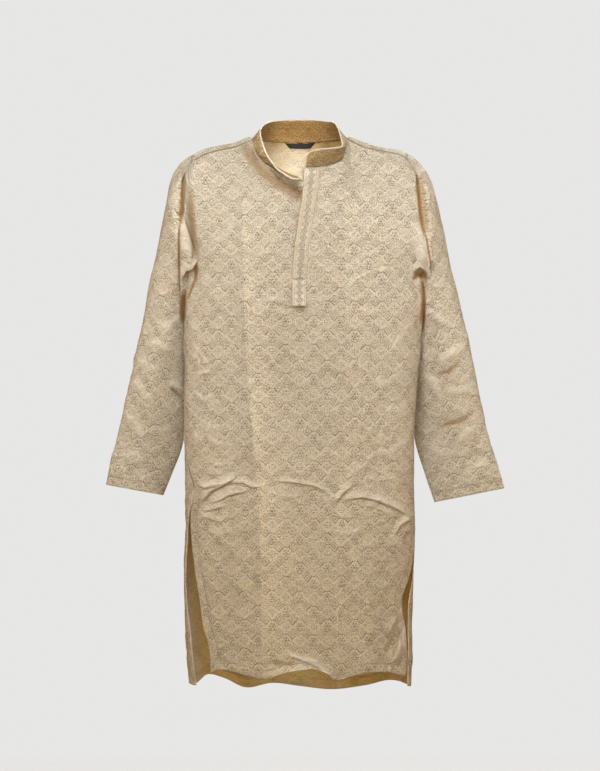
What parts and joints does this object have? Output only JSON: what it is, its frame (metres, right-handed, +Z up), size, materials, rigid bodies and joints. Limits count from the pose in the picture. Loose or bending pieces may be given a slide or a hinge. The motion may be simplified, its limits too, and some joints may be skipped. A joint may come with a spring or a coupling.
{
  "type": "kurta tunic",
  "caption": "Long straight cotton kurta with a half-open stand collar, neck placket, full sleeves and side slits, filled out as worn.",
  "frame": {"origin": "midway between the two shoulder points at the base of the neck, where the wearer's shoulders carry the garment", "axes": "+Z up along the garment, the front faces -Y, +X to the viewer's right"},
  "size_m": [0.7585, 0.2156, 1.089],
  "materials": {
    "kurta_cotton": "matte cream slub cotton with tone-on-tone embroidery",
    "label_satin": "soft black satin"
  },
  "bodies": {
    "root": {"front": "kurta_cotton", "back": "kurta_cotton", "sleeve_left": "kurta_cotton", "sleeve_right": "kurta_cotton", "collar": "kurta_cotton", "placket_strip": "kurta_cotton", "placket_tab": "kurta_cotton", "neck_label": "label_satin"}
  },
  "joints": []
}
